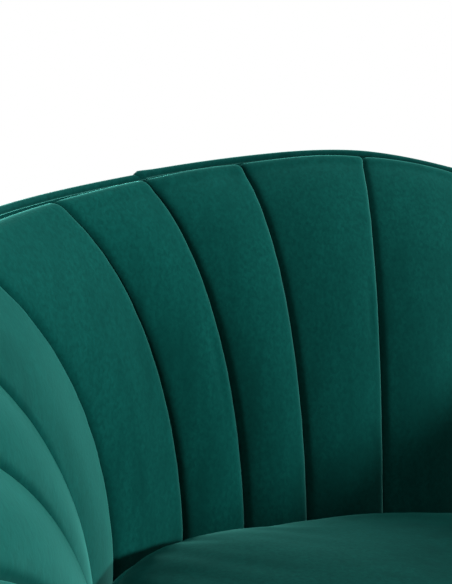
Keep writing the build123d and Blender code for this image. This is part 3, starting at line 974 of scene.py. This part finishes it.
def build_cushion():
    """Boxed seat cushion: pinned along its two seams and blown up between them, then piped."""
    low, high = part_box("seat_cushion")
    seam_low = low.z + cushion_seam_low
    cushion = cushion_form(low, high)
    pin_cushion(cushion, seam_low, low, high)
    inflate(cushion)
    loosen_cushion(cushion, low, high)
    divide = cushion.modifiers.new("divide", "SUBSURF")
    divide.levels = 1
    divide.render_levels = 1
    for polygon in cushion.data.polygons:
        polygon.use_smooth = True
    # The cushion takes the darker velvet with painted shade
    dress(cushion, "velvet", "cushion", "seat_cushion", look=painted_shade_cushion_velvet)
    for name, seam in (("top", cushion_seam), ("bottom", seam_low)):
        path = cushion_outline(cushion_piping_inset, seam + cushion_piping_up)
        path[:, 2] += rear_swell(path[:, 0], path[:, 1], path[:, 2], low, high)
        piping = tube(f"cushion_piping_{name}", path, trim_radius, closed=True)
        dress(piping, "piping", "cushion")


def build_dust_cover():
    """Bonded cloth stretched under the base."""
    mesh = nodes["dust_cover"].data.copy()
    mesh.materials.clear()
    cloth = bpy.data.objects.new("dust_cloth", mesh)
    bpy.context.scene.collection.objects.link(cloth)
    dress(cloth, "dust_cloth", "frame", "dust_cover")


# Floor, light and camera
def seen_socket(tree):
    """1 for rays of the camera, and for reflections and rays through clear pieces."""
    rays = add_node(tree, "ShaderNodeLightPath")
    seen = rays.outputs["Is Camera Ray"]
    for kind in ("Is Glossy Ray", "Is Transmission Ray"):
        either = add_node(tree, "ShaderNodeMath", operation="MAXIMUM")
        tree.links.new(seen, either.inputs[0])
        tree.links.new(rays.outputs[kind], either.inputs[1])
        seen = either.outputs[0]
    return seen


def build_stage():
    """Pale floor that keeps the chair's shadow and fades to white away from it."""
    reach = floor_half
    corners = [(-reach, -reach, 0), (reach, -reach, 0), (reach, reach, 0), (-reach, reach, 0)]
    floor = finish_mesh("floor", corners, [[0, 1, 2, 3]])
    material, tree, shader = new_material("floor", roughness=0.9)
    stains = noise_socket(tree, scale=3)
    shade = mixed(tree, stains, (0.80, 0.80, 0.80), (0.86, 0.86, 0.86))
    tree.links.new(shade, shader.inputs["Base Color"])
    coords = add_node(tree, "ShaderNodeTexCoord")
    away = add_node(tree, "ShaderNodeVectorMath", operation="LENGTH")
    tree.links.new(coords.outputs["Object"], away.inputs[0])
    fade = add_node(tree, "ShaderNodeMath", operation="MULTIPLY")
    tree.links.new(ramped(tree, away.outputs["Value"], fade_start, fade_end), fade.inputs[0])
    tree.links.new(seen_socket(tree), fade.inputs[1])
    white = add_node(tree, "ShaderNodeEmission")
    mix = add_node(tree, "ShaderNodeMixShader")
    tree.links.new(fade.outputs[0], mix.inputs[0])
    tree.links.new(shader.outputs[0], mix.inputs[1])
    tree.links.new(white.outputs[0], mix.inputs[2])
    tree.links.new(mix.outputs[0], tree.nodes["Material Output"].inputs["Surface"])
    floor.data.materials.append(material)


def build_world():
    """White where the camera or a reflection sees it, and a soft grey light elsewhere."""
    world = bpy.data.worlds.new("studio")
    bpy.context.scene.world = world
    world.use_nodes = True
    tree = world.node_tree
    tree.nodes.clear()
    light = add_node(tree, "ShaderNodeBackground")
    light.inputs["Color"].default_value = (world_light, world_light, world_light, 1)
    white = add_node(tree, "ShaderNodeBackground")
    white.inputs["Color"].default_value = (1, 1, 1, 1)
    mix = add_node(tree, "ShaderNodeMixShader")
    output = add_node(tree, "ShaderNodeOutputWorld")
    tree.links.new(seen_socket(tree), mix.inputs[0])
    tree.links.new(light.outputs[0], mix.inputs[1])
    tree.links.new(white.outputs[0], mix.inputs[2])
    tree.links.new(mix.outputs[0], output.inputs["Surface"])


def area_light(name, place, target, size, power):
    """Square lamp at a place, turned to a target."""
    lamp = bpy.data.lights.new(name, "AREA")
    lamp.size = size
    lamp.energy = power
    light = bpy.data.objects.new(name, lamp)
    light.location = place
    aim = Vector(target) - Vector(place)
    light.rotation_euler = aim.to_track_quat("-Z", "Y").to_euler()
    bpy.context.scene.collection.objects.link(light)


def build_camera():
    """Camera of the photograph: its directions follow from its yaw, pitch and roll."""
    ahead = Vector(
        (
            -sin(camera_yaw) * cos(camera_pitch),
            cos(camera_yaw) * cos(camera_pitch),
            sin(camera_pitch),
        )
    )
    level_right = Vector((cos(camera_yaw), sin(camera_yaw), 0))
    level_up = level_right.cross(ahead)
    right = level_right * cos(camera_roll) + level_up * sin(camera_roll)
    up = level_up * cos(camera_roll) - level_right * sin(camera_roll)
    lens = bpy.data.cameras.new("camera")
    lens.sensor_width = sensor
    lens.lens = focal_pixels / image_height * sensor
    lens.clip_start = camera_near
    camera = bpy.data.objects.new("camera", lens)
    turn = Matrix((right, up, -ahead)).transposed().to_4x4()
    camera.matrix_world = Matrix.Translation(camera_place) @ turn
    bpy.context.scene.collection.objects.link(camera)
    bpy.context.scene.camera = camera


build_channels()
build_covers()
build_rim_piping()
build_arm_fronts()
build_front_border()
build_deck()
build_cushion()
build_dust_cover()
build_stage()
build_world()
for settings in lights:
    area_light(*settings)
build_camera()
bpy.context.scene.view_settings.view_transform = "Standard"
